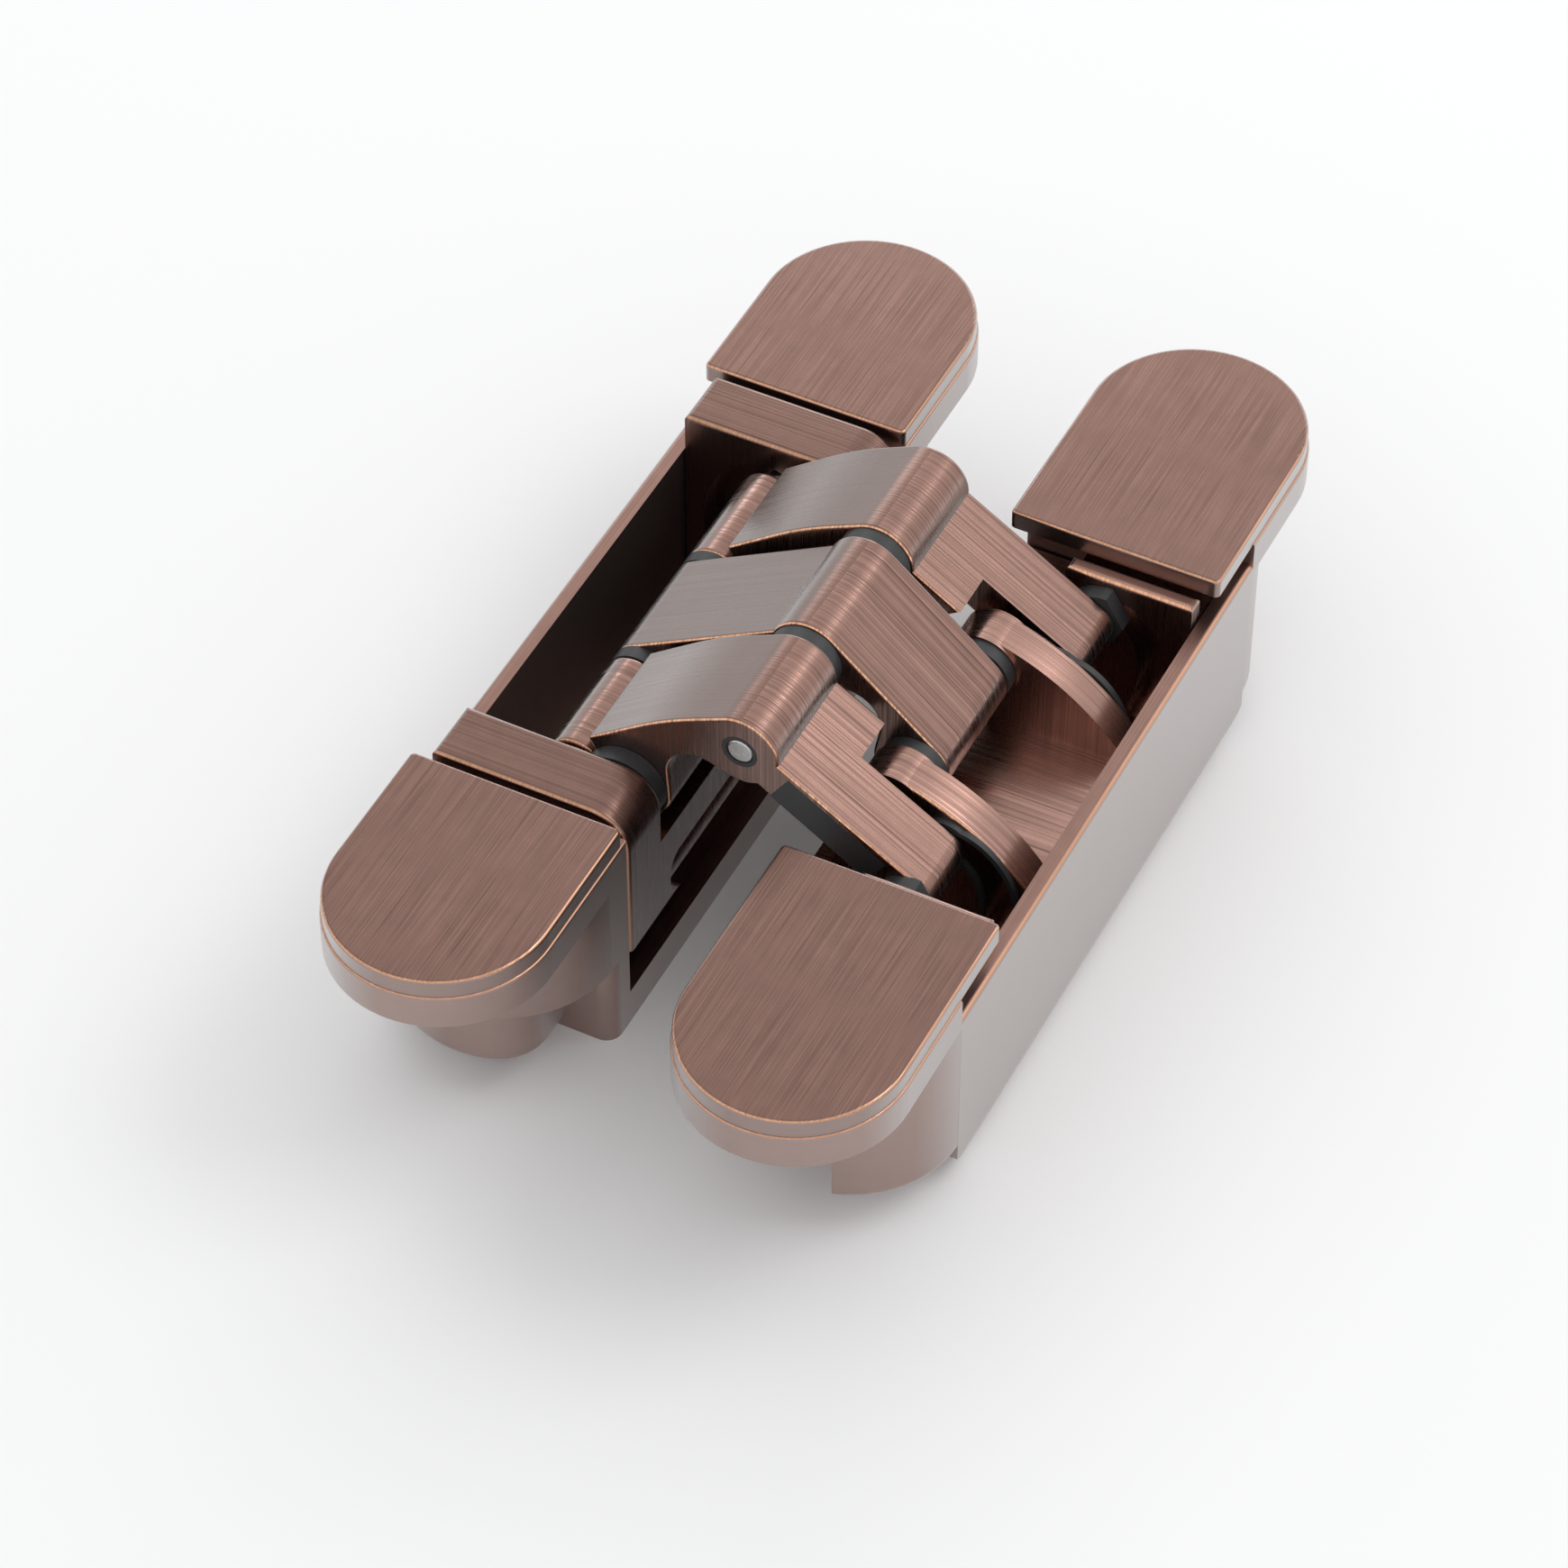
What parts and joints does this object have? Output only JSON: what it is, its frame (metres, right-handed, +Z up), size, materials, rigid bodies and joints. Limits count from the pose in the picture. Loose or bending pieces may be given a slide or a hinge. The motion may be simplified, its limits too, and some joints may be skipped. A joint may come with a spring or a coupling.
{
  "type": "concealed door hinge",
  "caption": "Concealed invisible door hinge: crossed arms fold into slim round-ended casings, shown opened flat.",
  "frame": {"origin": "middle of the underside of the opened hinge", "axes": "+X from the frame casing to the door casing, +Y along the hinge, +Z up out of the casings' faces"},
  "size_m": [0.0636, 0.1194, 0.0394],
  "materials": {
    "brushed_copper": "brushed antique copper plating",
    "dark_plastic": "matte dark grey",
    "pin_steel": "ground"
  },
  "bodies": {
    "frame": {"frame_adjuster_far": "pin_steel", "frame_adjuster_near": "pin_steel", "frame_cap_far": "brushed_copper", "frame_cap_near": "brushed_copper", "frame_carrier": "brushed_copper", "frame_casing": "brushed_copper", "frame_pin_far": "pin_steel", "frame_pin_near": "pin_steel", "frame_washer_far": "dark_plastic", "frame_washer_near": "dark_plastic"},
    "arm_a": {"arm_a_far": "brushed_copper", "arm_a_near": "brushed_copper", "centre_bush_far": "dark_plastic", "centre_bush_near": "dark_plastic", "centre_pin": "pin_steel", "centre_washer_far": "dark_plastic", "centre_washer_near": "dark_plastic", "leg_pin_far": "pin_steel", "leg_pin_near": "pin_steel", "leg_shoe_far": "dark_plastic", "leg_shoe_near": "dark_plastic", "leg_strip_far": "dark_plastic", "leg_strip_near": "dark_plastic"},
    "arm_b": {"arm_b": "brushed_copper", "slide_pin": "pin_steel", "slide_sleeve_far": "brushed_copper", "slide_sleeve_near": "brushed_copper", "slide_washer_far": "dark_plastic", "slide_washer_near": "dark_plastic"},
    "door": {"door_adjuster_far": "pin_steel", "door_adjuster_near": "pin_steel", "door_cap_far": "brushed_copper", "door_cap_near": "brushed_copper", "door_carrier": "brushed_copper", "door_casing": "brushed_copper", "door_pin": "pin_steel", "door_washer_far": "dark_plastic", "door_washer_near": "dark_plastic", "rib_liner_far": "dark_plastic", "rib_liner_near": "dark_plastic"}
  },
  "joints": [
    {"name": "arm_a_turn", "type": "hinge", "parent": "frame", "child": "arm_a", "pos_m": [-0.0123, 0, 0.025], "axis": [0, -1, 0], "range_deg": [0, 117.32]},
    {"name": "arm_b_turn", "type": "hinge", "parent": "arm_a", "child": "arm_b", "pos_m": [0.0005, 0, 0.0351], "axis": [0, -1, 0], "range_deg": [-51.2, 0]},
    {"name": "door_turn", "type": "hinge", "parent": "arm_b", "child": "door", "pos_m": [0.0129, 0, 0.025], "axis": [0, -1, 0], "range_deg": [0, 113.9]}
  ],
  "couplings": [
    {"joint": "arm_b_turn", "follows": "arm_a_turn", "ratio": -0.43597},
    {"joint": "door_turn", "follows": "arm_a_turn", "ratio": 0.9702}
  ]
}
